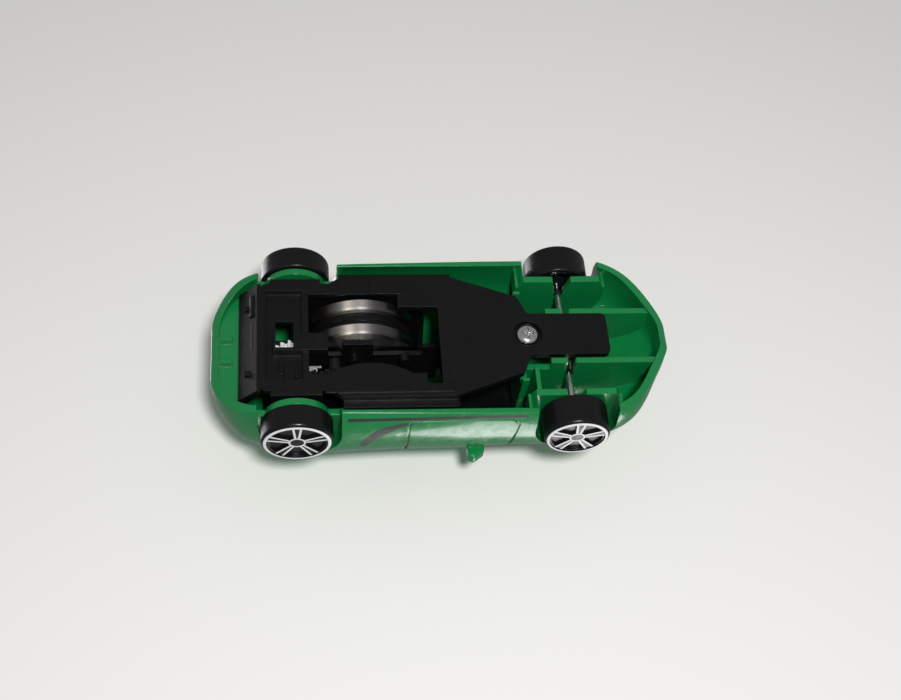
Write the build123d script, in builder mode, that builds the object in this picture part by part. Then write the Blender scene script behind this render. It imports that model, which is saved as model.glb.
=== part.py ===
"""Friction-motor toy car: plastic body, tinted glazing, chassis, two axles, gear train and flywheel.

Millimetres, +X to the front of the car, +Y to its left, +Z up, standing on its wheels.
The origin is on the ground under the middle of the car.
"""
import math
import os

from build123d import *

os.makedirs("parts", exist_ok=True)

# ---------------------------------------------------------------- driving dimensions
WHEELBASE = 44.0
REAR_X = -23.4
FRONT_X = REAR_X + WHEELBASE
REAR_WHEEL_RADIUS = 5.65
FRONT_WHEEL_RADIUS = 5.25
REAR_WHEEL_WIDTH = 4.0
FRONT_WHEEL_WIDTH = 5.2
REAR_WHEEL_OUTER = 16.8
FRONT_WHEEL_OUTER = 17.0
FRONT_AXLE_RADIUS = 0.6
REAR_AXLE_RADIUS = 0.75
AXLE_END_COVER = 1.2
RUNNING_CLEARANCE = 0.06

WALL = 1.3
GLASS_SETBACK = 0.3
GLASS_THICKNESS = 0.7
FIT = 0.06
GROOVE_DEPTH = 0.25
GROOVE_WIDTH = 0.35

FLOOR_Z = 1.0
FLOOR_THICKNESS = 1.2
FLOOR_TOP = FLOOR_Z + FLOOR_THICKNESS

FLYWHEEL_X = REAR_X + 10.6
FLYWHEEL_Z = 11.6
FLYWHEEL_RADIUS = 10.0
DISC_THICKNESS = 1.9
DISC_GAP = 2.7
DISC_BORE = 3.0
DISC_LEFT_FACE = -0.9
SHAFT_RADIUS = 0.6

MODULE = 0.4
PRESSURE_ANGLE = math.radians(20)
BACKLASH = 0.10
PINION_TEETH = 8
WHEEL_TEETH = 20
MESH_DISTANCE = MODULE * (PINION_TEETH + WHEEL_TEETH) / 2
LAYER_1 = (0.55, 2.25)
LAYER_2 = (2.65, 4.05)
LAYER_3 = (4.45, 5.85)
MID_PLATE = (-0.45, 0.25)
COVER_FACE = (6.3, 7.2)
RIGHT_PLATE = (-9.4, -8.5)
PIN_RADIUS = 0.5

SCREW_X = 13.75
SCREW_HEAD_RADIUS = 1.85
SCREW_SHANK_RADIUS = 0.95
POST_BOTTOM = 3.5

# ---------------------------------------------------------------- the body's outer form
# Each row is one cross-section: x, then (half width, height) at the sill, the waist, the shoulder,
# the side glass and the roof edge, and last the height on the centre line.
SECTIONS = [
    (-36.9, (4.7, 6.4), (4.6, 8.8), (3.7, 10.8), (2.6, 11.9), (1.3, 12.4), 12.5),
    (-36.4, (7.0, 5.9), (7.0, 8.7), (5.9, 11.3), (4.2, 12.8), (2.1, 13.4), 13.5),
    (-35.0, (9.7, 4.9), (9.8, 8.5), (8.5, 11.9), (6.1, 14.0), (3.1, 14.7), 14.9),
    (-32.6, (12.0, 3.4), (12.3, 8.3), (11.2, 12.9), (8.1, 15.4), (4.2, 16.4), 16.7),
    (-29.0, (12.9, 2.0), (14.2, 8.1), (12.8, 13.3), (9.3, 16.4), (5.3, 17.9), 18.4),
    (-23.4, (13.5, 1.4), (15.5, 8.5), (14.0, 13.8), (10.2, 17.9), (6.9, 20.5), 21.4),
    (-15.0, (13.9, 1.2), (15.6, 8.3), (14.2, 13.6), (11.0, 18.5), (8.2, 22.7), 24.2),
    (-6.0, (14.1, 1.2), (15.4, 8.0), (14.2, 13.0), (11.3, 18.2), (8.4, 22.9), 24.6),
    (3.0, (14.3, 1.2), (15.3, 8.0), (14.3, 12.7), (11.3, 17.0), (8.4, 21.2), 22.8),
    (11.0, (14.4, 1.2), (15.3, 8.0), (14.0, 12.4), (11.0, 14.8), (7.0, 16.9), 17.8),
    (18.0, (14.6, 1.2), (15.5, 8.1), (13.8, 12.2), (10.5, 13.4), (5.9, 13.8), 13.9),
    (25.0, (14.7, 1.1), (14.9, 7.8), (12.9, 11.2), (9.4, 12.1), (5.1, 12.4), 12.5),
    (31.0, (11.6, 0.9), (12.0, 7.2), (10.0, 9.7), (7.2, 10.5), (3.9, 10.8), 10.8),
    (34.8, (6.2, 1.2), (6.4, 6.0), (5.6, 8.0), (4.0, 8.8), (2.2, 9.1), 9.1),
    (36.3, (3.5, 1.8), (3.9, 5.4), (3.5, 7.1), (2.5, 7.8), (1.3, 8.1), 8.1),
    (36.9, (1.5, 2.4), (1.8, 5.0), (1.6, 6.4), (1.1, 7.0), (0.6, 7.3), 7.3),
]
HALF_LENGTH = SECTIONS[-1][0]
HALF_WIDTH = 15.6


def body_form(inset):
    """A solid of the body's outer form, drawn in at the sides and ends and lowered by inset."""
    with BuildPart() as form:
        for x, *edges, crown in SECTIONS:
            half = [(width * (1 - inset / HALF_WIDTH), height - inset) for width, height in edges]
            full = half + [(0.0, crown - inset)] + [(-width, height) for width, height in reversed(half)]
            x_inset = x * (1 - inset / HALF_LENGTH)
            with BuildSketch(Plane(origin=(x_inset, 0, 0), x_dir=(0, 1, 0), z_dir=(1, 0, 0))):
                with BuildLine():
                    over = Spline(*full)
                    Line(over @ 1, over @ 0)
                make_face()
        loft()
    return form.part


def side_plane(y, x=0.0, z=0.0):
    """A plane facing the car's right, so that a sketch is in (x, z) and extrudes towards -Y."""
    return Plane(origin=(x, y, z), x_dir=(1, 0, 0), z_dir=(0, -1, 0))


def disc(x, z, radius, low, high, mode=Mode.ADD):
    """A round slab across the car, between y = low and y = high."""
    with BuildSketch(side_plane(high, x, z)) as circle:
        Circle(radius)
    extrude(circle.sketch, amount=high - low, mode=mode)


def block(x_span, y_span, z_span, mode=Mode.ADD):
    """A box given by its spans."""
    size = [span[1] - span[0] for span in (x_span, y_span, z_span)]
    middle = [(span[1] + span[0]) / 2 for span in (x_span, y_span, z_span)]
    with Locations(tuple(middle)):
        Box(*size, mode=mode)


def slab(points, low, high, mode=Mode.ADD):
    """A polygon in (x, z) made solid between y = low and y = high."""
    with BuildSketch(side_plane(high)) as outline:
        with BuildLine():
            Polyline(*points, close=True)
        make_face()
    extrude(outline.sketch, amount=high - low, mode=mode)


def finish(name, builder):
    """Label a finished piece and write it."""
    builder.part.label = name
    export_step(builder.part, f"parts/{name}.step")


outer_form = body_form(0)
inner_form = body_form(WALL)
groove_form = body_form(GROOVE_DEPTH)
glass_outer = body_form(GLASS_SETBACK)
glass_seat = body_form(WALL + FIT)
glass_inner = body_form(WALL + GLASS_THICKNESS)

# ---------------------------------------------------------------- body shell
REAR_ARCH_RADIUS = 6.5
REAR_ARCH_X = REAR_X + 0.45
FRONT_ARCH_RADIUS = 6.5
ARCH_REACH = 0.99
TUB_WALL = 1.1
REAR_TUB_INNER = 11.5
FRONT_TUB_INNER = 10.2
LOBE_RADIUS = 5.1
TUB_EDGE_Z = 2.7
TAIL_SHELF_Z = 6.0
CROSS_WALL_X = 12.8
RIB_INNER, RIB_OUTER = 4.2, 5.2
SIDES = (1, -1)


def span(side, near, far):
    """The y span from near to far of the centre line, on the left (1) or on the right (-1)."""
    return (near, far) if side > 0 else (-far, -near)


with BuildPart() as tubs:
    for side in SIDES:
        low, high = span(side, REAR_TUB_INNER, 18)
        disc(REAR_ARCH_X, REAR_WHEEL_RADIUS, REAR_ARCH_RADIUS + TUB_WALL, low, high)
        low, high = span(side, FRONT_TUB_INNER, 18)
        disc(FRONT_X, FRONT_WHEEL_RADIUS, FRONT_ARCH_RADIUS + TUB_WALL, low, high)
        reach = FRONT_ARCH_RADIUS + TUB_WALL
        block((FRONT_X - reach, FRONT_X + reach), (low, high), (TUB_EDGE_Z, FRONT_WHEEL_RADIUS))
        hump = [(-4.2, TUB_EDGE_Z + 0.1), (-2.2, 1.1), (2.2, 1.1), (4.2, TUB_EDGE_Z + 0.1)]
        low, high = span(side, FRONT_TUB_INNER, FRONT_TUB_INNER + TUB_WALL)
        slab([(FRONT_X + x, z) for x, z in hump], low, high)
    add(outer_form, mode=Mode.INTERSECT)

with BuildPart() as ribs:
    block((CROSS_WALL_X - 0.6, CROSS_WALL_X + 0.5), (-8.5, 8.5), (1.4, 12.6))
    block((CROSS_WALL_X - 1, CROSS_WALL_X + 1), (-8, 8), (0, POST_BOTTOM), mode=Mode.SUBTRACT)
    for side in SIDES:
        block((CROSS_WALL_X, 36), span(side, RIB_INNER, RIB_OUTER), (1.6, 12.6))
        block((-36, -33.5), span(side, 1.7, 2.5), (4.9, TAIL_SHELF_Z))
    block((-36, -31.2), (-11, 11), (TAIL_SHELF_Z, TAIL_SHELF_Z + 1.0))
    block((14.6, 15.3), (RIB_OUTER, 10.4), (2.6, 12))
    block((CROSS_WALL_X, 17.2), (-RIB_OUTER, RIB_OUTER), (0, POST_BOTTOM), mode=Mode.SUBTRACT)
    with BuildSketch(Plane.XY.offset(POST_BOTTOM)):
        with Locations((SCREW_X, 0)):
            Circle(2.7)
    extrude(amount=9)
    add(outer_form, mode=Mode.INTERSECT)

with BuildPart() as mirrors:
    for side in SIDES:
        with BuildSketch(Plane.XY.offset(12.4)) as mirror_plan:
            with BuildLine():
                Polyline(
                    (3.9, side * 13.9),
                    (7.0, side * 13.9),
                    (6.7, side * 15.3),
                    (5.0, side * 16.5),
                    (4.1, side * 16.0),
                    close=True,
                )
            make_face()
        extrude(mirror_plan.sketch, amount=2.1)
    fillet(mirrors.edges(), radius=0.5)
    for side in SIDES:
        block((4.6, 6.4), span(side, 12.6, 14.4), (12.2, 13.4))

# ---------------------------------------------------------------- window openings
PILLAR = (-1.9, 2.0)
with BuildPart() as side_window_cutters:
    slab([(PILLAR[1], 14.6), (PILLAR[1], 20.2), (3.4, 19.4), (9.6, 14.6)], -20, 20)
    slab([(PILLAR[0], 14.6), (PILLAR[0], 21.3), (-5.3, 21.3), (-11.8, 20.9), (-17.2, 16.0), (-9.0, 14.7)], -20, 20)
    fillet(side_window_cutters.edges().filter_by(Axis.Y), radius=0.6)
    block((-40, 40), (-8.2, 8.2), (0, 40), mode=Mode.SUBTRACT)

with BuildPart() as end_window_cutters:
    with BuildSketch(Plane.XY.offset(14.2)):
        with BuildLine():
            Polyline((5.2, -6.9), (14.2, -8.8), (15.4, 0), (14.2, 8.8), (5.2, 6.9), (4.4, 0), close=True)
        make_face()
        with BuildLine():
            Polyline((-19.6, -5.6), (-27.0, -5.9), (-28.0, 0), (-27.0, 5.9), (-19.6, 5.6), (-19.0, 0), close=True)
        make_face()
    extrude(amount=12)
    fillet(end_window_cutters.edges().filter_by(Axis.Z), radius=0.9)



def wheel_cavity(x, z, radius, near, far, side):
    """The space for a wheel: a round arch over it, open below."""
    low, high = span(side, near, far)
    disc(x, z, radius, low, high)
    reach = radius * ARCH_REACH
    block((x - reach, x + reach), (low, high), (-2, z))


with BuildPart() as wheel_cavities:
    for side in SIDES:
        wheel_cavity(REAR_ARCH_X, REAR_WHEEL_RADIUS, REAR_ARCH_RADIUS, REAR_TUB_INNER + TUB_WALL, 20, side)
        wheel_cavity(FRONT_X, FRONT_WHEEL_RADIUS, FRONT_ARCH_RADIUS, FRONT_TUB_INNER + TUB_WALL, 20, side)

with BuildPart() as lobes:
    for side in SIDES:
        low, high = span(side, REAR_TUB_INNER, REAR_TUB_INNER + TUB_WALL)
        disc(REAR_X, REAR_WHEEL_RADIUS, LOBE_RADIUS, low, high)

with BuildPart() as tub_trim:
    for side in SIDES:
        low, high = span(side, REAR_TUB_INNER - 0.1, REAR_TUB_INNER + TUB_WALL + 0.1)
        block((REAR_X - 6.2, REAR_X + 9), (low, high), (-1, 4.2))

with BuildPart() as axle_slots:
    disc(FRONT_X, FRONT_WHEEL_RADIUS, FRONT_AXLE_RADIUS + 0.1, -12, 12)
    reach = FRONT_AXLE_RADIUS + 0.1
    block((FRONT_X - reach, FRONT_X + reach), (-12, 12), (-1, FRONT_WHEEL_RADIUS))
    for side in SIDES:
        low, high = span(side, FRONT_TUB_INNER - 0.5, FRONT_TUB_INNER + TUB_WALL + 0.5)
        slab([(FRONT_X - reach, 4.4), (FRONT_X + reach, 4.4), (FRONT_X + 1.7, 0.5), (FRONT_X - 1.7, 0.5)], low, high)
        disc(REAR_X, REAR_WHEEL_RADIUS, REAR_AXLE_RADIUS + 0.15, *span(side, 11, 13))

with BuildPart() as grooves:
    door = [(-6.2, 2.6), (-6.2, 14.0), (10.4, 13.6), (11.6, 2.6)]
    for side in SIDES:
        low, high = span(side, 11.5, 18)
        with BuildSketch(side_plane(high)):
            with BuildLine():
                Polyline(*door, close=True)
            make_face()
            fillet(vertices(), radius=1.4)
            offset(amount=-GROOVE_WIDTH, mode=Mode.SUBTRACT)
        extrude(amount=high - low)
    with BuildSketch(Plane.XY.offset(7.5)):
        with BuildLine():
            Polyline((17.2, -10.2), (31.6, -7.0), (33.0, 0), (31.6, 7.0), (17.2, 10.2), (18.4, 0), close=True)
        make_face()
        fillet(vertices(), radius=1.0)
        offset(amount=-GROOVE_WIDTH, mode=Mode.SUBTRACT)
    extrude(amount=8)
    add(groove_form, mode=Mode.SUBTRACT)

with BuildPart() as body_shell:
    add(outer_form)
    add(inner_form, mode=Mode.SUBTRACT)
    add(tubs.part)
    add(tub_trim.part, mode=Mode.SUBTRACT)
    add(lobes.part)
    add(wheel_cavities.part, mode=Mode.SUBTRACT)
    add(ribs.part)
    add(axle_slots.part, mode=Mode.SUBTRACT)
    add(side_window_cutters.part, mode=Mode.SUBTRACT)
    add(end_window_cutters.part, mode=Mode.SUBTRACT)
    add(grooves.part, mode=Mode.SUBTRACT)
    add(mirrors.part)
    with BuildSketch(Plane.XY.offset(POST_BOTTOM)):
        with Locations((SCREW_X, 0)):
            Circle(SCREW_SHANK_RADIUS)
    extrude(amount=6.2, mode=Mode.SUBTRACT)
    block((-30, 4), (-7.9, -0.3), (2, FLYWHEEL_Z), mode=Mode.SUBTRACT)
finish("body_shell", body_shell)

# ---------------------------------------------------------------- window inserts
GLASS_FLANGE = 0.55
WINDSCREEN_FRAME = ((3.2, 16.2), (-9.8, 9.8), (12.8, 30))
REAR_WINDOW_FRAME = ((-28.8, -18.0), (-6.8, 6.8), (12.8, 30))
ROOF_BAND = ((-19.0, -14.0), (-20, 20), (16.0, 30))


def window_insert(name, side_outline, frames, span_x):
    """Moulded glazing: a thin shell inside the body, thick enough in each opening to come near the surface."""
    with BuildPart() as insert:
        slab(side_outline, -20, 20)
        for frame in frames:
            block(*frame)
        add(glass_seat, mode=Mode.INTERSECT)
        add(side_window_cutters.part)
        add(end_window_cutters.part)
        block(span_x, (-20, 20), (0, 40), mode=Mode.INTERSECT)
        add(glass_outer, mode=Mode.INTERSECT)
        add(glass_inner, mode=Mode.SUBTRACT)
        disc(FLYWHEEL_X, FLYWHEEL_Z, FLYWHEEL_RADIUS + 0.5, -8.0, 0.0, mode=Mode.SUBTRACT)
    finish(name, insert)


FRONT_GLASS_X = PILLAR[1] - GLASS_FLANGE
REAR_GLASS_X = PILLAR[0] + GLASS_FLANGE
window_insert(
    "window_insert_front",
    [(FRONT_GLASS_X, 13.8), (FRONT_GLASS_X, 20.9), (3.9, 20.2), (11.2, 13.8)],
    [WINDSCREEN_FRAME],
    (FRONT_GLASS_X, 40),
)
window_insert(
    "window_insert_rear",
    [(REAR_GLASS_X, 13.8), (REAR_GLASS_X, 22.2), (-12.4, 21.8), (-18.6, 16.6), (-18.6, 13.8)],
    [REAR_WINDOW_FRAME, ROOF_BAND],
    (-40, REAR_GLASS_X),
)

# ---------------------------------------------------------------- chassis
CHASSIS_HALF_WIDTH = 11.2
LEDGE_HALF_WIDTH = 12.5
LEDGE_Z = 2.2
REAR_HALF_WIDTH = 9.9
SHOULDER_HALF_WIDTH = 7.2
TONGUE_HALF_WIDTH = 3.85
TONGUE_END_X = 27.0
SADDLE = (9.6, 10.8)
WINDOW_X = (-21.4, -0.6)
WINDOW_Y = (-7.9, 7.1)
SLIT_X = (-3.0, WINDOW_X[1])
SLIT_Y = (-5.3, 9.0)
TAB_RADIUS = 12.0
TAB_REACH = 2.0
PAN_X = (-28.2, -22.4)
PAN_Y = (-8.6, 7.9)
PAN_THICKNESS = 1.0
GEAR_HOLE_X = (REAR_X - 3.2, REAR_X - 0.4)
GEAR_HOLE_Y = -3.4
STRAP_SLOT_X = (FLYWHEEL_X - 3.8, FLYWHEEL_X + 1.4)
CLIP_AXIS = (-29.8, 2.4)
PAN_RIBS = ((-26.0, 3.9), (-25.2, 5.6), (-23.6, 5.2))
GEAR_SLOT_Y = (LAYER_1[0] - 0.2, LAYER_1[1] + 0.2)
AXLE_HOLE = REAR_AXLE_RADIUS + RUNNING_CLEARANCE
WHEEL_TIP_RADIUS = MODULE * (WHEEL_TEETH / 2 + 0.85)


def plan(points, low, high, corner=0.0, mode=Mode.ADD):
    """A plan outline, mirrored about the car's centre line, made solid between z = low and z = high."""
    mirrored = [(x, -y) for x, y in reversed(points)]
    with BuildSketch(Plane.XY.offset(low)) as outline:
        with BuildLine():
            Polyline(*points, *mirrored, close=True)
        make_face()
        if corner > 0:
            fillet(outline.vertices(), radius=corner)
    extrude(outline.sketch, amount=high - low, mode=mode)


with BuildPart() as chassis:
    floor_outline = [
        (-29.0, REAR_HALF_WIDTH),
        (-18.0, REAR_HALF_WIDTH),
        (-16.2, CHASSIS_HALF_WIDTH),
        (1.6, CHASSIS_HALF_WIDTH),
        (12.6, SHOULDER_HALF_WIDTH),
        (14.0, TONGUE_HALF_WIDTH),
        (TONGUE_END_X, TONGUE_HALF_WIDTH),
    ]
    plan(floor_outline, FLOOR_Z, FLOOR_TOP, corner=0.9)
    slab([(-28.9, FLOOR_Z), (-28.9, FLOOR_TOP), (-31.6, 5.6), (-32.4, 5.6), (-32.4, 4.2), (-29.5, FLOOR_Z)], -9.9, 9.9)
    for side in SIDES:
        block((-16.2, 1.2), span(side, CHASSIS_HALF_WIDTH - 0.9, CHASSIS_HALF_WIDTH), (FLOOR_TOP, 5.4))
        block((-16.2, 2.0), span(side, CHASSIS_HALF_WIDTH - 0.9, LEDGE_HALF_WIDTH), (LEDGE_Z, LEDGE_Z + 1.0))
        low, high = span(side, *SADDLE)
        slab([(-27.4, FLOOR_Z), (-27.0, 7.8), (-19.8, 7.8), (-19.4, FLOOR_Z)], low, high)
        block((-31.4, -29.2), span(side, 5.6, 6.4), (FLOOR_TOP, TAIL_SHELF_Z - 0.1))
        block((FRONT_X - 0.9, FRONT_X + 0.9), span(side, 1.8, 3.0), (FLOOR_TOP, FRONT_WHEEL_RADIUS - 0.7))
    block((WINDOW_X[1] + 0.5, WINDOW_X[1] + 1.3), (-9.6, 9.6), (FLOOR_TOP, 4.2))
    with BuildSketch(Plane.XY.offset(FLOOR_TOP)):
        with Locations((SCREW_X, 0)):
            Circle(2.9)
    extrude(amount=POST_BOTTOM - 0.05 - FLOOR_TOP)
    block(PAN_X, PAN_Y, (0, FLOOR_TOP), mode=Mode.SUBTRACT)
    block((PAN_X[0] - 0.5, PAN_X[1] + 0.5), (PAN_Y[0] - 0.5, PAN_Y[1] + 0.5), (FLOOR_TOP, FLOOR_TOP + PAN_THICKNESS))
    for x, y in PAN_RIBS:
        block((x, x + 0.5), (y, y + 2.2), (FLOOR_Z + 0.3, FLOOR_TOP))
    disc(*CLIP_AXIS, 1.0, -8.0, -4.2)
    disc(*CLIP_AXIS, 0.75, -2.6, 1.9)
    block((-19.0, 1.0), (9.1, 10.5), (FLOOR_Z - 0.2, FLOOR_Z))
    with BuildSketch() as window:
        with BuildLine():
            Polyline(
                (WINDOW_X[0], WINDOW_Y[0]),
                (-7.0, WINDOW_Y[0]),
                (-7.0, SLIT_Y[0]),
                (SLIT_X[1], SLIT_Y[0]),
                (SLIT_X[1], SLIT_Y[1]),
                (SLIT_X[0], SLIT_Y[1]),
                (SLIT_X[0], WINDOW_Y[1]),
                (WINDOW_X[0], WINDOW_Y[1]),
                close=True,
            )
        make_face()
        with Locations((FLYWHEEL_X + 1.0, WINDOW_Y[1] - TAB_REACH + TAB_RADIUS)):
            Circle(TAB_RADIUS, mode=Mode.SUBTRACT)
    extrude(window.sketch, amount=FLOOR_TOP + PAN_THICKNESS, mode=Mode.SUBTRACT)
    block((REAR_X - 3.6, REAR_X + 5.0), (GEAR_SLOT_Y[0] - 0.5, GEAR_SLOT_Y[1] + 0.5), (0.45, FLOOR_TOP))
    block((REAR_X + 1.5, REAR_X + 5.0), (GEAR_SLOT_Y[1] - 0.08, GEAR_SLOT_Y[1] + 0.14), (FLOOR_Z, 6.0))
    block(SLIT_X, SLIT_Y, (0, FLOOR_TOP), mode=Mode.SUBTRACT)
    block(STRAP_SLOT_X, (-12, WINDOW_Y[0]), (0, FLOOR_Z + 0.45), mode=Mode.SUBTRACT)
    block((-6.8, -6.3), (WINDOW_Y[0] - 0.6, WINDOW_Y[0]), (FLOOR_Z - 0.2, FLOOR_TOP + 1.6))
    block(GEAR_HOLE_X, (GEAR_HOLE_Y, GEAR_SLOT_Y[1]), (0, FLOOR_TOP + PAN_THICKNESS), mode=Mode.SUBTRACT)
    disc(REAR_X, REAR_WHEEL_RADIUS, WHEEL_TIP_RADIUS + 0.25, *GEAR_SLOT_Y, mode=Mode.SUBTRACT)
    disc(FLYWHEEL_X, FLYWHEEL_Z, FLYWHEEL_RADIUS + 0.45, -8.1, 0.0, mode=Mode.SUBTRACT)
    disc(REAR_X, REAR_WHEEL_RADIUS, AXLE_HOLE, -12, 12, mode=Mode.SUBTRACT)
    with Locations(Location((SCREW_X, 0, FLOOR_Z), (180, 0, 0))):
        CounterBoreHole(SCREW_SHANK_RADIUS + 0.1, SCREW_HEAD_RADIUS + 0.5, 0.85)
finish("chassis", chassis)

# ---------------------------------------------------------------- chassis screw
SCREW_HEAD_TOP = FLOOR_Z + 0.85
SCREW_HEAD_HEIGHT = 1.15
with BuildPart() as chassis_screw:
    with BuildSketch(Plane.XZ):
        with BuildLine():
            low = SCREW_HEAD_TOP - SCREW_HEAD_HEIGHT
            foot = Line((0, low), (SCREW_HEAD_RADIUS * 0.45, low))
            dome = JernArc(foot @ 1, (1, 0), 1.1, 62)
            Polyline(
                dome @ 1,
                (SCREW_HEAD_RADIUS, SCREW_HEAD_TOP - 0.35),
                (SCREW_HEAD_RADIUS, SCREW_HEAD_TOP),
                (SCREW_SHANK_RADIUS - 0.05, SCREW_HEAD_TOP),
                (SCREW_SHANK_RADIUS - 0.05, 8.4),
                (0, 9.3),
                (0, low),
            )
        make_face()
    revolve(axis=Axis.Z)
    with BuildSketch(Plane.XY.offset(SCREW_HEAD_TOP - SCREW_HEAD_HEIGHT)):
        Rectangle(2.0, 0.42)
        Rectangle(0.42, 2.0)
    extrude(amount=0.6, taper=12, mode=Mode.SUBTRACT)
chassis_screw.part.locate(Location((SCREW_X, 0, 0)))
finish("chassis_screw", chassis_screw)

# ---------------------------------------------------------------- axles and road wheels
SPOKES = 5
POCKET_DEPTH = 0.45


def axle(name, x, z, radius, half_length):
    """A steel wire axle with lightly chamfered ends."""
    with BuildPart() as wire:
        disc(x, z, radius, -half_length, half_length)
        chamfer(wire.edges().filter_by(GeomType.CIRCLE), length=radius * 0.3)
    finish(name, wire)


def road_wheel(name, x, radius, axle_radius, outer, width, side):
    """A one-piece moulded wheel: rounded tread, hollow back, dished face with five spokes."""
    rim_radius = radius * 0.84
    tip = rim_radius * 1.05
    with BuildSketch(mode=Mode.PRIVATE) as spoke:
        with BuildLine():
            Polyline((0, -0.32), (tip, -0.85), (tip, 0.85), (0, 0.32), close=True)
        make_face()
    with BuildPart() as wheel:
        disc(0, 0, radius, 0, width)
        tread = wheel.edges().filter_by(GeomType.CIRCLE)
        fillet(tread.sort_by(Axis.Y)[-1], radius=0.7)
        fillet(wheel.edges().filter_by(GeomType.CIRCLE).sort_by(Axis.Y)[0], radius=0.35)
        disc(0, 0, radius - 1.15, 0, 1.5, mode=Mode.SUBTRACT)
        disc(0, 0, axle_radius + 0.9, 0, 1.6)
        with BuildSketch(side_plane(width)):
            Circle(rim_radius)
        extrude(amount=0.2, mode=Mode.SUBTRACT)
        with BuildSketch(side_plane(width - 0.2)):
            Circle(rim_radius * 0.93)
            Circle(rim_radius * 0.29, mode=Mode.SUBTRACT)
            with PolarLocations(0, SPOKES, start_angle=-90):
                add(spoke.sketch, mode=Mode.SUBTRACT)
        extrude(amount=POCKET_DEPTH, mode=Mode.SUBTRACT)
        disc(0, 0, axle_radius, 0, width - AXLE_END_COVER, mode=Mode.SUBTRACT)
    turned = wheel.part
    if side < 0:
        turned = turned.rotate(Axis.Z, 180)
    with BuildPart() as placed:
        add(turned.moved(Location((x, side * (outer - width), radius))))
    finish(name, placed)


axle("front_axle", FRONT_X, FRONT_WHEEL_RADIUS, FRONT_AXLE_RADIUS, FRONT_WHEEL_OUTER - AXLE_END_COVER)
axle("rear_axle", REAR_X, REAR_WHEEL_RADIUS, REAR_AXLE_RADIUS, REAR_WHEEL_OUTER - AXLE_END_COVER)
for side, hand in ((1, "left"), (-1, "right")):
    front = (FRONT_X, FRONT_WHEEL_RADIUS, FRONT_AXLE_RADIUS, FRONT_WHEEL_OUTER, FRONT_WHEEL_WIDTH, side)
    rear = (REAR_X, REAR_WHEEL_RADIUS, REAR_AXLE_RADIUS, REAR_WHEEL_OUTER, REAR_WHEEL_WIDTH, side)
    road_wheel(f"front_wheel_{hand}", *front)
    road_wheel(f"rear_wheel_{hand}", *rear)

# ---------------------------------------------------------------- gear train
HUB_FLANGE_RADIUS = 8.8
TIP_HEIGHT = 0.85
ROOT_DEPTH = 1.2
FLANK_STEPS = 5


def involute(angle):
    """The involute function."""
    return math.tan(angle) - angle


def tooth_points(teeth):
    """One tooth about the +X direction: points from its root, out along one flank and back down the other."""
    pitch = MODULE * teeth / 2
    base = pitch * math.cos(PRESSURE_ANGLE)
    tip = pitch + TIP_HEIGHT * MODULE
    root = pitch - ROOT_DEPTH * MODULE
    half = (math.pi * MODULE / 2 - BACKLASH) / (2 * pitch) + involute(PRESSURE_ANGLE)
    start = max(base, root)
    flank = []
    for step in range(FLANK_STEPS + 1):
        radius = start + (tip - start) * step / FLANK_STEPS
        angle = half - involute(math.acos(min(1.0, base / radius)))
        flank.append((radius, angle))
    inner = root * 0.9
    flank.insert(0, (inner, flank[0][1] * 0.8))
    upper = [(radius * math.cos(angle), radius * math.sin(angle)) for radius, angle in flank]
    lower = [(x, -y) for x, y in reversed(upper)]
    return upper + lower


def gear(x, z, teeth, layer, tooth_towards, mesh_gap):
    """A spur gear; a tooth, or with mesh_gap a gap, points in the direction tooth_towards (radians)."""
    turn = math.degrees(tooth_towards) + (180 / teeth if mesh_gap else 0)
    low, high = layer
    with BuildSketch(mode=Mode.PRIVATE) as tooth:
        with BuildLine():
            Polyline(*tooth_points(teeth), close=True)
        make_face()
    with BuildSketch(side_plane(high, x, z)) as outline:
        Circle(MODULE * (teeth / 2 - ROOT_DEPTH))
        with PolarLocations(0, teeth, start_angle=turn):
            add(tooth.sketch)
    extrude(outline.sketch, amount=high - low)


def bearing_to(start, goal):
    """The direction from one axis to another, as an angle in the (x, z) plane."""
    return math.atan2(goal[1] - start[1], goal[0] - start[0])


REAR_AXIS = (REAR_X, REAR_WHEEL_RADIUS)
FLYWHEEL_AXIS = (FLYWHEEL_X, FLYWHEEL_Z)
FIRST_ANGLE = math.radians(75)
FIRST_AXIS = (
    REAR_X + MESH_DISTANCE * math.cos(FIRST_ANGLE),
    REAR_WHEEL_RADIUS + MESH_DISTANCE * math.sin(FIRST_ANGLE),
)
REACH = math.dist(FIRST_AXIS, FLYWHEEL_AXIS)
FOLD = math.acos(REACH / 2 / MESH_DISTANCE)
SECOND_ANGLE = bearing_to(FIRST_AXIS, FLYWHEEL_AXIS) - FOLD
SECOND_AXIS = (
    FIRST_AXIS[0] + MESH_DISTANCE * math.cos(SECOND_ANGLE),
    FIRST_AXIS[1] + MESH_DISTANCE * math.sin(SECOND_ANGLE),
)
THIRD_ANGLE = bearing_to(SECOND_AXIS, FLYWHEEL_AXIS)

with BuildPart() as rear_axle_gear:
    gear(*REAR_AXIS, WHEEL_TEETH, LAYER_1, FIRST_ANGLE, False)
    disc(*REAR_AXIS, REAR_AXLE_RADIUS + 0.35, LAYER_1[1], COVER_FACE[0] - 0.15)
    disc(*REAR_AXIS, REAR_AXLE_RADIUS, -5, 9, mode=Mode.SUBTRACT)
finish("rear_axle_gear", rear_axle_gear)

with BuildPart() as first_counter_gear:
    gear(*FIRST_AXIS, PINION_TEETH, LAYER_1, FIRST_ANGLE + math.pi, True)
    disc(*FIRST_AXIS, 1.0, LAYER_1[1], LAYER_2[0])
    gear(*FIRST_AXIS, WHEEL_TEETH, LAYER_2, SECOND_ANGLE, False)
    disc(*FIRST_AXIS, 1.2, LAYER_2[1], COVER_FACE[0] - 0.15)
    disc(*FIRST_AXIS, PIN_RADIUS + RUNNING_CLEARANCE, -5, 9, mode=Mode.SUBTRACT)
finish("first_counter_gear", first_counter_gear)

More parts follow.
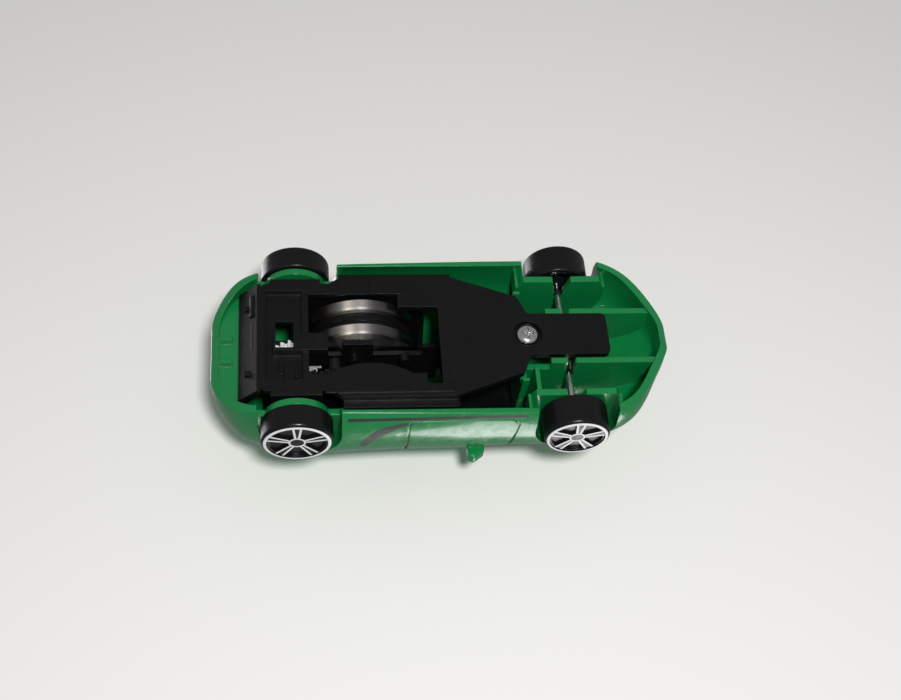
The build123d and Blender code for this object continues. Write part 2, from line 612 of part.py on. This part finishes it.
with BuildPart() as second_counter_gear:
    disc(*SECOND_AXIS, 1.0, MID_PLATE[1] + 0.15, LAYER_2[0])
    gear(*SECOND_AXIS, PINION_TEETH, LAYER_2, SECOND_ANGLE + math.pi, True)
    disc(*SECOND_AXIS, 1.0, LAYER_2[1], LAYER_3[0])
    gear(*SECOND_AXIS, WHEEL_TEETH, LAYER_3, THIRD_ANGLE, False)
    disc(*SECOND_AXIS, PIN_RADIUS + RUNNING_CLEARANCE, -5, 9, mode=Mode.SUBTRACT)
finish("second_counter_gear", second_counter_gear)

with BuildPart() as flywheel_pinion:
    gear(*FLYWHEEL_AXIS, PINION_TEETH, LAYER_3, THIRD_ANGLE + math.pi, True)
    disc(*FLYWHEEL_AXIS, SHAFT_RADIUS, -5, 9, mode=Mode.SUBTRACT)
finish("flywheel_pinion", flywheel_pinion)

for name, axis in (("first_gear_pin", FIRST_AXIS), ("second_gear_pin", SECOND_AXIS)):
    with BuildPart() as pin:
        disc(*axis, PIN_RADIUS, MID_PLATE[0], COVER_FACE[1])
    finish(name, pin)

# ---------------------------------------------------------------- flywheel
GAP_LEFT = DISC_LEFT_FACE - DISC_THICKNESS
GAP_RIGHT = GAP_LEFT - DISC_GAP
DISC_RIGHT_FACE = GAP_RIGHT - DISC_THICKNESS

for name, low in (("flywheel_disc_left", GAP_LEFT), ("flywheel_disc_right", DISC_RIGHT_FACE)):
    with BuildPart() as rim:
        disc(*FLYWHEEL_AXIS, FLYWHEEL_RADIUS, low, low + DISC_THICKNESS)
        chamfer(rim.edges().filter_by(GeomType.CIRCLE), length=0.3)
        disc(*FLYWHEEL_AXIS, DISC_BORE, low, low + DISC_THICKNESS, mode=Mode.SUBTRACT)
    finish(name, rim)

with BuildPart() as flywheel_hub:
    disc(*FLYWHEEL_AXIS, DISC_BORE, DISC_RIGHT_FACE, DISC_LEFT_FACE)
    disc(*FLYWHEEL_AXIS, HUB_FLANGE_RADIUS, GAP_RIGHT, GAP_LEFT)
    middle = (GAP_RIGHT + GAP_LEFT) / 2
    disc(*FLYWHEEL_AXIS, HUB_FLANGE_RADIUS + 0.3, middle - 0.2, middle + 0.2)
    disc(*FLYWHEEL_AXIS, SHAFT_RADIUS, -12, 2, mode=Mode.SUBTRACT)
finish("flywheel_hub", flywheel_hub)

with BuildPart() as flywheel_shaft:
    disc(*FLYWHEEL_AXIS, SHAFT_RADIUS, RIGHT_PLATE[0], COVER_FACE[1])
    chamfer(flywheel_shaft.edges().filter_by(GeomType.CIRCLE), length=0.15)
finish("flywheel_shaft", flywheel_shaft)

# ---------------------------------------------------------------- motor plates and gear cover
SHAFT_HOLE = SHAFT_RADIUS + RUNNING_CLEARANCE
STRAP_DEPTH = 0.25

FOOT_Z = FLOOR_TOP + PAN_THICKNESS
PLATE_EDGE_Z = 6.6
STRAP_X = (FLYWHEEL_X - 3.2, FLYWHEEL_X + 1.8)

with BuildPart() as motor_plate_middle:
    middle_outline = [
        (-28.0, FOOT_Z),
        (-28.4, 10.0),
        (-26.8, 15.6),
        (-23.0, 16.7),
        (-18.0, 16.3),
        (-10.4, 16.0),
        (-3.0, 15.0),
        (-0.2, 14.4),
        (0.1, 10.2),
        (0.2, 7.4),
        (-1.0, 4.6),
        (-2.2, 4.3),
        (-3.0, 4.6),
        (-3.0, PLATE_EDGE_Z),
        (-20.6, PLATE_EDGE_Z),
        (-22.0, FOOT_Z),
    ]
    slab(middle_outline, *MID_PLATE)
    block(STRAP_X, (MID_PLATE[0], MID_PLATE[1] + STRAP_DEPTH), (3.0, 10.4))
    for x in (FLYWHEEL_X - 1.2, FLYWHEEL_X + 7.0):
        disc(x, 6.9, 0.9, MID_PLATE[1], MID_PLATE[1] + 1.4)
    disc(*REAR_AXIS, AXLE_HOLE, -2, 2, mode=Mode.SUBTRACT)
    disc(*FLYWHEEL_AXIS, SHAFT_HOLE, -2, 2, mode=Mode.SUBTRACT)
    for axis in (FIRST_AXIS, SECOND_AXIS):
        disc(*axis, PIN_RADIUS, -2, 2, mode=Mode.SUBTRACT)
finish("motor_plate_middle", motor_plate_middle)

RIGHT_PLATE_RADIUS = 11.0
RIGHT_PLATE_TOP = 15.0
with BuildPart() as motor_plate_right:
    disc(*FLYWHEEL_AXIS, RIGHT_PLATE_RADIUS, *RIGHT_PLATE)
    block((WINDOW_X[0] - 0.4, FLYWHEEL_X), RIGHT_PLATE, (FLOOR_TOP, FLYWHEEL_Z))
    block((-40, 10), RIGHT_PLATE, (-1, FLOOR_TOP), mode=Mode.SUBTRACT)
    block((-40, 10), RIGHT_PLATE, (RIGHT_PLATE_TOP, 30), mode=Mode.SUBTRACT)
    for x in STRAP_SLOT_X:
        block((x - 0.2, x + 0.2), (RIGHT_PLATE[1], RIGHT_PLATE[1] + 0.3), (FLOOR_TOP, FLYWHEEL_Z))
    disc(*FLYWHEEL_AXIS, SHAFT_HOLE, -12, -6, mode=Mode.SUBTRACT)
finish("motor_plate_right", motor_plate_right)

COVER_RIM = 0.8
COVER_RIM_Z = 8.0
with BuildPart() as gear_cover:
    with BuildSketch(side_plane(COVER_FACE[1])) as outline:
        with BuildLine():
            Polyline(
                (-27.9, FOOT_Z),
                (-28.3, 10.0),
                (-26.7, 15.5),
                (-23.0, 16.6),
                (-17.6, 16.2),
                (-10.2, 15.9),
                (-9.6, 9.0),
                (-13.0, 4.6),
                (-20.4, 4.6),
                (-22.0, FOOT_Z),
                close=True,
            )
        make_face()
    extrude(outline.sketch, amount=COVER_FACE[1] - COVER_FACE[0])
    with BuildSketch(side_plane(COVER_FACE[0])) as rim:
        add(outline.sketch.moved(Location((0, COVER_FACE[0] - COVER_FACE[1], 0))))
        offset(amount=-COVER_RIM, mode=Mode.SUBTRACT)
    extrude(rim.sketch, amount=COVER_FACE[0] - MID_PLATE[1])
    block((-40, -5), (MID_PLATE[1], COVER_FACE[0]), (0, COVER_RIM_Z), mode=Mode.SUBTRACT)
    block((-16.8, -5), (MID_PLATE[1], COVER_FACE[0]), (0, 14.6), mode=Mode.SUBTRACT)
    disc(*REAR_AXIS, AXLE_HOLE, 6, 8, mode=Mode.SUBTRACT)
    disc(*FLYWHEEL_AXIS, SHAFT_HOLE, 6, 8, mode=Mode.SUBTRACT)
    for axis in (FIRST_AXIS, SECOND_AXIS):
        disc(*axis, PIN_RADIUS, 6, 8, mode=Mode.SUBTRACT)
finish("gear_cover", gear_cover)
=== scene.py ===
"""Looks for the friction-motor toy car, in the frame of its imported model."""
import math

import bmesh
import bpy
from mathutils import Matrix, Vector
from mathutils.bvhtree import BVHTree


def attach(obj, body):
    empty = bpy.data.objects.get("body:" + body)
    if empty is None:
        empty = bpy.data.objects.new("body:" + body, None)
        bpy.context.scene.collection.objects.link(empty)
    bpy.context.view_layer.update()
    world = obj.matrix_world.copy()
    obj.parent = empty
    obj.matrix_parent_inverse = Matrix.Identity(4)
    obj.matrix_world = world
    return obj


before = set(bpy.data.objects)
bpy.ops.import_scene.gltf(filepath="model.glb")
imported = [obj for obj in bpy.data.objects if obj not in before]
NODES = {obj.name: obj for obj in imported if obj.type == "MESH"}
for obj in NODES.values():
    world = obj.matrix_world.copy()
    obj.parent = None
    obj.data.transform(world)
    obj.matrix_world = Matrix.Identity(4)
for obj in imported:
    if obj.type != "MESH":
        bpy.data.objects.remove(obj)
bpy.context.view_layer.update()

MM = 0.001

# axles as (x, z), where z is also the wheels' radius, and how far out the wheels reach, in millimetres
REAR = (-23.4, 5.65)
FRONT = (20.6, 5.25)
REAR_OUTER = 16.8
FRONT_OUTER = 17.0

# prints: their height over the surface and their depth in it
PRINT_LIFT = 0.02
PRINT_SINK = 0.03

# the wheels' printed face, as shares of a wheel's radius or of its rim's
SPOKES = 5
SPOKE_START = -math.pi / 2
LINE = 0.34
RING_STEPS = 72
TYRE_FILLET = 0.7
RECESS = 0.2
RIM_SHARE = 0.84
RIM_PRINT_END = 0.925
RIM_PRINT_POINTS = 4
HUB_SHARE = 0.29
HUB_LINE = (-0.3, -0.02)
SPOKE_HALF = (0.32, 0.85)
SPOKE_TIP = 1.05
SPOKE_END = 0.985
EDGE_GAP = 0.02
RIM_GAP = 0.03

# prints on the body's sides, as (x, z) points in millimetres
SILL_TOP = [(-15.6, 2.75), (12.6, 2.15)]
SILL_BOTTOM = [(-15.6, 2.2), (12.6, 1.7)]
INTAKE_OUTER = [(-13.6, 9.4), (-13.0, 7.2), (-11.0, 4.6), (-7.6, 3.3), (-4.0, 2.9)]
INTAKE_INNER = [(-12.6, 9.4), (-11.6, 7.6), (-9.6, 5.6), (-7.0, 3.9), (-4.0, 3.0)]
HEADLAMP_LOW = [(29.6, 8.3), (31.4, 6.6), (33.4, 5.0), (34.6, 4.2)]
HEADLAMP_HIGH = [(29.6, 8.6), (31.2, 8.5), (33.0, 7.9), (34.7, 5.9)]

# tail lamps on the back of the body
TAIL_LAMP_START = 3.2
TAIL_LAMP_LENGTH = 5.6
TAIL_LAMP_HALF = 1.05
TAIL_LAMP_Z = 10.6
TAIL_LAMP_DROP = 0.25
TAIL_LAMP_STEPS = 12

# floors: the ground under the upright car, and the table that its roof lies on
# the upturned car tips on its curved roof, so the table slopes,
# which also keeps it below a low camera beside the upright car
TABLE_Z = 24.55
TABLE_SLOPE = 0.022
FLOOR_RADIUS = 0.55
FLOOR_STEPS = 96
FADE_FROM = 0.14
FADE_TO = 0.50

WORLD_STRENGTH = 0.30


# ---------------------------------------------------------------- material tools
class Shader:
    """A node tree around one Principled shader, with short ways to add textures to it."""

    def __init__(self, name, **sockets):
        self.material = bpy.data.materials.new(name)
        self.material.use_nodes = True
        self.tree = self.material.node_tree
        self.bsdf = self.tree.nodes["Principled BSDF"]
        for socket, value in sockets.items():
            self.bsdf.inputs[socket.replace("_", " ")].default_value = value
        self.coords = self.add("ShaderNodeTexCoord").outputs["Object"]
        self.height = None

    def add(self, kind, **settings):
        node = self.tree.nodes.new(kind)
        for key, value in settings.items():
            setattr(node, key, value)
        return node

    def link(self, output, target):
        self.tree.links.new(output, target)

    def math(self, operation, a, b=0.0):
        node = self.add("ShaderNodeMath", operation=operation)
        for socket, value in zip(node.inputs, (a, b)):
            if isinstance(value, (int, float)):
                socket.default_value = value
            else:
                self.link(value, socket)
        return node.outputs[0]

    def scaled(self, scale):
        """Object coordinates, scaled along each axis."""
        node = self.add("ShaderNodeMapping")
        node.inputs["Scale"].default_value = scale
        self.link(self.coords, node.inputs["Vector"])
        return node.outputs["Vector"]

    def noise(self, size_mm, detail=2.0, roughness=0.5, stretch=(1, 1, 1)):
        """Noise whose lumps are about size_mm across."""
        node = self.add("ShaderNodeTexNoise")
        node.inputs["Scale"].default_value = 1 / (size_mm * MM)
        node.inputs["Detail"].default_value = detail
        node.inputs["Roughness"].default_value = roughness
        self.link(self.scaled(stretch), node.inputs["Vector"])
        return node.outputs["Fac"]

    def spread(self, value, low, high, start=0.35, end=0.65):
        """A value from start to end, turned into one from low to high."""
        node = self.add("ShaderNodeMapRange")
        for name, number in (("From Min", start), ("From Max", end), ("To Min", low), ("To Max", high)):
            node.inputs[name].default_value = number
        self.link(value, node.inputs["Value"])
        return node.outputs["Result"]

    def blend(self, factor, first, second):
        """A colour between two others."""
        node = self.add("ShaderNodeMix", data_type="RGBA")
        self.link(factor, node.inputs["Factor"])
        for socket, value in ((node.inputs[6], first), (node.inputs[7], second)):
            if isinstance(value, tuple):
                socket.default_value = (*value, 1)
            else:
                self.link(value, socket)
        return node.outputs[2]

    def colour(self, output):
        self.link(output, self.bsdf.inputs["Base Color"])

    def rough(self, output):
        self.link(output, self.bsdf.inputs["Roughness"])

    def soften(self, radius_mm):
        """Rounds the look of sharp edges, before any bumps are added."""
        node = self.add("ShaderNodeBevel", samples=4)
        node.inputs["Radius"].default_value = radius_mm * MM
        self.height = node.outputs["Normal"]
        self.link(self.height, self.bsdf.inputs["Normal"])

    def bump(self, height, depth_mm, strength=1.0):
        """Adds a bump of that depth on top of those already there."""
        node = self.add("ShaderNodeBump")
        node.inputs["Strength"].default_value = strength
        node.inputs["Distance"].default_value = depth_mm * MM
        self.link(height, node.inputs["Height"])
        if self.height is not None:
            self.link(self.height, node.inputs["Normal"])
        self.height = node.outputs["Normal"]
        self.link(self.height, self.bsdf.inputs["Normal"])


def paint(obj, shader):
    obj.data.materials.clear()
    obj.data.materials.append(shader.material)


green = Shader("body_green", Roughness=0.2, Coat_Weight=0.35, Coat_Roughness=0.07)
swirl = green.blend(green.noise(7, 3, 0.6, (0.6, 1, 1)), (0.0022, 0.172, 0.040), (0.0042, 0.212, 0.054))
specks = green.spread(green.noise(0.5, 5, 0.7), 0, 1, 0.70, 0.78)
green.colour(green.blend(specks, swirl, (0.012, 0.25, 0.085)))
green.rough(green.spread(green.noise(1.4, 5, 0.65), 0.15, 0.30))
green.soften(0.22)
green.bump(green.noise(2.4, 2), 0.012)
green.bump(green.noise(0.35, 3, 0.6), 0.0012)


def moulded(name, dark, light, rough, grain_mm, grain_depth):
    """Satin moulded plastic with faint flow marks, scuffs and a fine grain."""
    shader = Shader(name, Roughness=sum(rough) / 2, Specular_IOR_Level=0.24)
    shader.soften(0.14)
    flow = shader.blend(shader.noise(4.5, 4, 0.6, (0.4, 1, 1)), dark, light)
    scuffed = shader.spread(shader.noise(0.42, 6, 0.72, (0.35, 1, 1)), 0, 0.5, 0.66, 0.80)
    shader.colour(shader.blend(scuffed, flow, tuple(min(1.0, 3.2 * c) for c in light)))
    shader.rough(shader.spread(shader.noise(0.9, 5, 0.65), *rough))
    shader.bump(shader.noise(grain_mm, 2), grain_depth)
    shader.bump(shader.noise(2.8, 2), 0.012)
    return shader


chassis_black = moulded(
    "chassis_black", (0.0026, 0.0028, 0.0028), (0.0052, 0.0056, 0.0056), (0.28, 0.44), 0.14, 0.004
)
hub_black = moulded(
    "hub_black", (0.0030, 0.0030, 0.0032), (0.0060, 0.0060, 0.0064), (0.26, 0.42), 0.20, 0.003
)
gear_black = moulded(
    "gear_black", (0.008, 0.008, 0.0085), (0.014, 0.014, 0.0145), (0.30, 0.48), 0.18, 0.003
)
wheel_black = moulded(
    "wheel_black", (0.0040, 0.0041, 0.0044), (0.0075, 0.0077, 0.0082), (0.22, 0.38), 0.12, 0.003
)

gear_white = Shader("gear_white", Roughness=0.35, Subsurface_Weight=0.15, Subsurface_Scale=0.001)
gear_white.colour(gear_white.blend(gear_white.noise(1.6, 4), (0.66, 0.67, 0.64), (0.78, 0.79, 0.77)))
gear_white.rough(gear_white.spread(gear_white.noise(0.6, 3), 0.28, 0.45))

plated = Shader("plated_steel", Metallic=1.0, Roughness=0.2)
plated.colour(plated.blend(plated.noise(0.9, 5, 0.7), (0.62, 0.62, 0.61), (0.82, 0.83, 0.83)))
plated.rough(plated.spread(plated.noise(0.35, 4, 0.6), 0.12, 0.30))
plated.bump(plated.noise(0.3, 3), 0.004)

turned = Shader("turned_steel", Metallic=1.0, Roughness=0.42, Anisotropic=0.88, Anisotropic_Rotation=0.25)
around = turned.add("ShaderNodeTangent", direction_type="RADIAL", axis="Y").outputs[0]
turned.link(around, turned.bsdf.inputs["Tangent"])
stained = turned.blend(turned.noise(2.2, 6, 0.72), (0.13, 0.122, 0.115), (0.27, 0.26, 0.245))
pits = turned.spread(turned.noise(0.28, 5, 0.75), 0, 1, 0.64, 0.74)
turned.colour(turned.blend(pits, stained, (0.07, 0.055, 0.045)))
turned.rough(turned.spread(turned.noise(0.4, 5, 0.7, (1, 5, 1)), 0.34, 0.50))
turned.bump(turned.noise(0.9, 2, 0.5, (0.06, 6, 0.06)), 0.004)
turned.bump(turned.noise(0.16, 3, 0.6), 0.002)

smoke = Shader("smoke_window", Roughness=0.08, Specular_IOR_Level=0.42)
smoke.colour(smoke.blend(smoke.noise(6, 2), (0.0035, 0.0040, 0.0042), (0.0070, 0.0080, 0.0080)))
smoke.rough(smoke.spread(smoke.noise(1.5, 4, 0.6), 0.06, 0.15))
smoke.bump(smoke.noise(3.5, 2), 0.008)


def ink(name, dark, light, patch_mm, detail, rough, **sockets):
    """Printed colour, worn unevenly."""
    shader = Shader(name, **sockets)
    shader.colour(shader.blend(shader.noise(patch_mm, detail, 0.7), dark, light))
    shader.rough(shader.spread(shader.noise(0.3, 3), *rough))
    return shader


printed = ink("white_print", (0.62, 0.64, 0.66), (0.86, 0.87, 0.88), 0.35, 5, (0.34, 0.5), Roughness=0.4)
dark_print = ink(
    "dark_print", (0.012, 0.016, 0.016), (0.030, 0.038, 0.036), 0.5, 5, (0.3, 0.5), Roughness=0.4
)
red_print = ink(
    "red_print", (0.20, 0.006, 0.006), (0.33, 0.012, 0.010), 0.5, 4, (0.22, 0.38),
    Roughness=0.3, Coat_Weight=0.3,
)

FINISHES = {
    green: ["body_shell"],
    smoke: ["window_insert_front", "window_insert_rear"],
    chassis_black: ["chassis", "motor_plate_middle", "motor_plate_right", "gear_cover"],
    plated: [
        "chassis_screw", "first_gear_pin", "second_gear_pin",
        "front_axle", "rear_axle", "flywheel_shaft",
    ],
    turned: ["flywheel_disc_left", "flywheel_disc_right"],
    hub_black: ["flywheel_hub"],
    gear_black: ["flywheel_pinion", "first_counter_gear", "second_counter_gear"],
    gear_white: ["rear_axle_gear"],
    wheel_black: ["front_wheel_left", "front_wheel_right", "rear_wheel_left", "rear_wheel_right"],
}
for shader, names in FINISHES.items():
    for name in names:
        paint(NODES[name], shader)


# ---------------------------------------------------------------- printed lines on the wheels
def mesh_piece(name, points, faces, shader, body):
    """A mesh from points in millimetres, riding on a body."""
    data = bpy.data.meshes.new(name)
    data.from_pydata([tuple(c * MM for c in p) for p in points], [], faces)
    data.validate()
    shape = bmesh.new()
    shape.from_mesh(data)
    bmesh.ops.recalc_face_normals(shape, faces=shape.faces)
    shape.to_mesh(data)
    shape.free()
    piece = bpy.data.objects.new(name, data)
    bpy.context.scene.collection.objects.link(piece)
    paint(piece, shader)
    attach(piece, body)


class Solid:
    """Collects points and faces of one mesh."""

    def __init__(self):
        self.points = []
        self.faces = []

    def sheet(self, top, bottom, closed):
        """A thick sheet between two grids of points, as rows; closed joins the last row to the first."""
        rows, columns = len(top), len(top[0])
        start = len(self.points)
        for grid in (top, bottom):
            for row in grid:
                self.points.extend(row)

        def at(layer, row, column):
            return start + layer * rows * columns + (row % rows) * columns + column

        last = rows if closed else rows - 1
        for row in range(last):
            for column in range(columns - 1):
                corners = ((row, column), (row + 1, column), (row + 1, column + 1), (row, column + 1))
                for layer in (0, 1):
                    self.faces.append([at(layer, *corner) for corner in corners])
            for column in (0, columns - 1):
                corners = ((0, row), (1, row), (1, row + 1), (0, row + 1))
                self.faces.append([at(layer, r, column) for layer, r in corners])
        if not closed:
            for row in (0, rows - 1):
                for column in range(columns - 1):
                    corners = ((0, column), (1, column), (1, column + 1), (0, column + 1))
                    self.faces.append([at(layer, row, c) for layer, c in corners])


def wheel_print(name, body, centre, outer, side):
    """White lines on a wheel's face: rings round the rim and the hub, and the edges of the spokes."""
    solid = Solid()
    x, radius = centre
    rim = radius * RIM_SHARE
    tip = rim * SPOKE_TIP

    def sag(r):
        """How far the tyre's rounded edge lies behind its face at r."""
        beyond = max(0.0, r - (radius - TYRE_FILLET))
        return TYRE_FILLET - math.sqrt(TYRE_FILLET**2 - beyond**2)

    def place(r, across, angle, depth):
        """A point at r along the direction angle and across it, depth under the wheel's outermost face."""
        px = r * math.cos(angle) - across * math.sin(angle)
        pz = r * math.sin(angle) + across * math.cos(angle)
        return (x + side * px, side * (outer - depth), radius + pz)

    def band(rows, closed=False):
        """A printed strip from rows of (r, across, angle, depth)."""
        top = [[place(r, a, t, d - PRINT_LIFT) for r, a, t, d in row] for row in rows]
        bottom = [[place(r, a, t, d + PRINT_SINK) for r, a, t, d in row] for row in rows]
        solid.sheet(top, bottom, closed)

    def ring(radii, depths):
        turns = [math.tau * k / RING_STEPS for k in range(RING_STEPS)]
        band([[(r, 0, t, d) for r, d in zip(radii, depths)] for t in turns], closed=True)

    last = RIM_PRINT_POINTS - 1
    width = radius * RIM_PRINT_END - rim
    land = [rim + RIM_GAP + width * k / last for k in range(RIM_PRINT_POINTS)]
    ring(land, [sag(r) for r in land])
    hub = rim * HUB_SHARE
    ring([hub + edge for edge in HUB_LINE], [RECESS, RECESS])
    for number in range(SPOKES):
        angle = SPOKE_START + math.tau * number / SPOKES
        for edge in (1, -1):
            rows = []
            for share in (0.0, 1.0):
                r = hub + (rim * SPOKE_END - hub) * share
                half = SPOKE_HALF[0] + (SPOKE_HALF[1] - SPOKE_HALF[0]) * r / tip - EDGE_GAP
                rows.append([(r, edge * half, angle, RECESS), (r, edge * (half - LINE), angle, RECESS)])
            band(rows)
    mesh_piece(name, solid.points, solid.faces, printed, body)


for side, hand in ((1, "left"), (-1, "right")):
    wheel_print(f"rear_wheel_print_{hand}", "rear_wheels", REAR, REAR_OUTER, side)
    wheel_print(f"front_wheel_print_{hand}", "front_wheels", FRONT, FRONT_OUTER, side)


# ---------------------------------------------------------------- prints that follow the body
def surface_tree(obj):
    """A ray tree of a CAD node in the frame's coordinates, in metres."""
    points = [obj.matrix_world @ v.co for v in obj.data.vertices]
    return BVHTree.FromPolygons(points, [tuple(f.vertices) for f in obj.data.polygons])


body_tree = surface_tree(NODES["body_shell"])


def landed(start, direction):
    """Where a ray meets the body and the normal there, or None; millimetres."""
    place, normal, _, _ = body_tree.ray_cast(Vector(start) * MM, Vector(direction))
    if place is None:
        return None
    if normal.dot(Vector(direction)) > 0:
        normal.negate()
    return place / MM, normal


def side_print(name, curve_a, curve_b, side, shader, steps=40, columns=5):
    """A print on the body's side, between two curves of (x, z) points, drawn by rays towards the centre."""
    def along(curve, share):
        place = share * (len(curve) - 1)
        k = min(int(place), len(curve) - 2)
        f = place - k
        return [curve[k][c] * (1 - f) + curve[k + 1][c] * f for c in (0, 1)]

    rows = []
    for step in range(steps + 1):
        a, b = along(curve_a, step / steps), along(curve_b, step / steps)
        row = []
        for column in range(columns):
            f = column / (columns - 1)
            x, z = a[0] * (1 - f) + b[0] * f, a[1] * (1 - f) + b[1] * f
            hit = landed((x, side * 30, z), (0, -side, 0))
            if hit is not None:
                row.append(hit)
        if len(row) == columns:
            rows.append(row)
    strip(name, rows, shader)


def strip(name, rows, shader):
    """A thin sheet just over the body, from rows of (place, normal)."""
    top = [[tuple(p + n * PRINT_LIFT) for p, n in row] for row in rows]
    bottom = [[tuple(p - n * PRINT_SINK) for p, n in row] for row in rows]
    solid = Solid()
    solid.sheet(top, bottom, False)
    mesh_piece(name, solid.points, solid.faces, shader, "root")


def eased(points, steps=10):
    """A smooth curve through points."""
    out = []
    for k in range(len(points) - 1):
        before, start, end, after = (points[max(0, min(len(points) - 1, k + d))] for d in (-1, 0, 1, 2))
        for step in range(steps):
            t = step / steps
            point = []
            for b, s, e, a in zip(before, start, end, after):
                square = 2 * b - 5 * s + 4 * e - a
                cube = 3 * s - b - 3 * e + a
                point.append(0.5 * (2 * s + (e - b) * t + square * t * t + cube * t**3))
            out.append(tuple(point))
    return out + [points[-1]]


for side, hand in ((1, "left"), (-1, "right")):
    side_print(f"sill_line_{hand}", SILL_TOP, SILL_BOTTOM, side, dark_print, 60, 3)
    side_print(f"intake_print_{hand}", eased(INTAKE_OUTER), eased(INTAKE_INNER), side, dark_print, 60, 4)
    side_print(f"headlamp_print_{hand}", eased(HEADLAMP_LOW), eased(HEADLAMP_HIGH), side, dark_print, 24, 5)

for side, hand in ((1, "left"), (-1, "right")):
    rows = []
    for step in range(TAIL_LAMP_STEPS + 1):
        share = step / TAIL_LAMP_STEPS
        y = side * (TAIL_LAMP_START + TAIL_LAMP_LENGTH * share)
        half = TAIL_LAMP_HALF * math.sin(math.pi * (0.12 + 0.76 * share))
        centre = TAIL_LAMP_Z - TAIL_LAMP_DROP * share
        rows.append([landed((-60, y, centre + half * (k / 2 - 1)), (1, 0, 0)) for k in range(5)])
    strip(f"tail_lamp_print_{hand}", rows, red_print)


# ---------------------------------------------------------------- floors, lights and camera
def floor(name, z, slope, colour, facing_up):
    """A round pale surface that shows only from its own side and fades out with distance."""
    ring = []
    for step in range(FLOOR_STEPS):
        x = FLOOR_RADIUS * math.cos(math.tau * step / FLOOR_STEPS)
        y = FLOOR_RADIUS * math.sin(math.tau * step / FLOOR_STEPS)
        ring.append((x, y, z * MM + slope * (y - x)))
    order = range(FLOOR_STEPS) if facing_up else reversed(range(FLOOR_STEPS))
    data = bpy.data.meshes.new(name)
    data.from_pydata(ring, [], [tuple(order)])
    piece = bpy.data.objects.new(name, data)
    bpy.context.scene.collection.objects.link(piece)
    shader = Shader(name, Base_Color=(*colour, 1), Roughness=0.6, Specular_IOR_Level=0.2)
    clear = shader.add("ShaderNodeBsdfTransparent")
    mix = shader.add("ShaderNodeMixShader")
    other_side = shader.add("ShaderNodeNewGeometry").outputs["Backfacing"]
    length = shader.add("ShaderNodeVectorMath", operation="LENGTH")
    shader.link(shader.coords, length.inputs[0])
    far = shader.spread(length.outputs["Value"], 0, 1, FADE_FROM, FADE_TO)
    shader.link(shader.math("MAXIMUM", other_side, far), mix.inputs[0])
    shader.link(shader.bsdf.outputs[0], mix.inputs[1])
    shader.link(clear.outputs[0], mix.inputs[2])
    shader.link(mix.outputs[0], shader.tree.nodes["Material Output"].inputs["Surface"])
    paint(piece, shader)
    piece.visible_shadow = False
    piece.visible_diffuse = False
    piece.visible_glossy = False
    piece.visible_transmission = False


floor("ground", 0.0, 0.0, (0.82, 0.812, 0.795), True)
floor("table", TABLE_Z, TABLE_SLOPE, (0.84, 0.825, 0.80), False)


def lamp(name, place, target, size, watts, colour=(1, 1, 1)):
    """A soft round light, aimed at a point; places and size in millimetres."""
    data = bpy.data.lights.new(name, "AREA")
    data.shape = "DISK"
    data.size = size * MM
    data.energy = watts
    data.color = colour
    light = bpy.data.objects.new(name, data)
    light.location = Vector(place) * MM
    aim = (Vector(target) - Vector(place)).normalized()
    light.rotation_mode = "QUATERNION"
    light.rotation_quaternion = aim.to_track_quat("-Z", "Y")
    bpy.context.scene.collection.objects.link(light)
    return light


lamp("flash", (6, 152, -312), (0, 0, 12), 50, 1.05)
lamp("key", (260, 420, 520), (0, 0, 8), 420, 2.4)
lamp("fill", (-420, -330, 360), (0, 0, 8), 420, 1.8)

# a small warm lamp that lights only the flywheel's discs
glint = lamp("glint", (-125, 115, -290), (-12, 0, 4), 12, 1.3, (1.0, 0.95, 0.86))
discs = bpy.data.collections.new("discs")
for name in ("flywheel_disc_left", "flywheel_disc_right"):
    discs.objects.link(NODES[name])
glint.light_linking.receiver_collection = discs

# a dim even light on the object, behind which the camera sees a paler backdrop
world = bpy.data.worlds.new("studio")
world.use_nodes = True
nodes, links = world.node_tree.nodes, world.node_tree.links
ambient = nodes["Background"]
ambient.inputs["Color"].default_value = (0.86, 0.87, 0.88, 1)
ambient.inputs["Strength"].default_value = WORLD_STRENGTH
backdrop = nodes.new("ShaderNodeBackground")
backdrop.inputs["Color"].default_value = (0.70, 0.70, 0.69, 1)
rays = nodes.new("ShaderNodeLightPath")
shown = nodes.new("ShaderNodeMixShader")
links.new(rays.outputs["Is Camera Ray"], shown.inputs[0])
links.new(ambient.outputs[0], shown.inputs[1])
links.new(backdrop.outputs[0], shown.inputs[2])
links.new(shown.outputs[0], nodes["World Output"].inputs["Surface"])
bpy.context.scene.world = world
bpy.context.scene.view_settings.view_transform = "Standard"
bpy.context.scene.cycles.caustics_reflective = False

camera_data = bpy.data.cameras.new("camera")
camera_data.lens = 52.2
camera_data.sensor_width = 36
camera_data.clip_start = 0.01
camera_data.clip_end = 20
camera = bpy.data.objects.new("camera", camera_data)
right, up, back = (0.9924, 0.0729, -0.0993), (0.0104, -0.8527, -0.5223), (-0.1228, 0.5173, -0.8470)
turn = Matrix((right, up, back)).transposed().to_quaternion()
camera.matrix_world = Matrix.LocRotScale(Vector((-24.52, 110.39, -174.93)) * MM, turn, None)
bpy.context.scene.collection.objects.link(camera)
bpy.context.scene.camera = camera
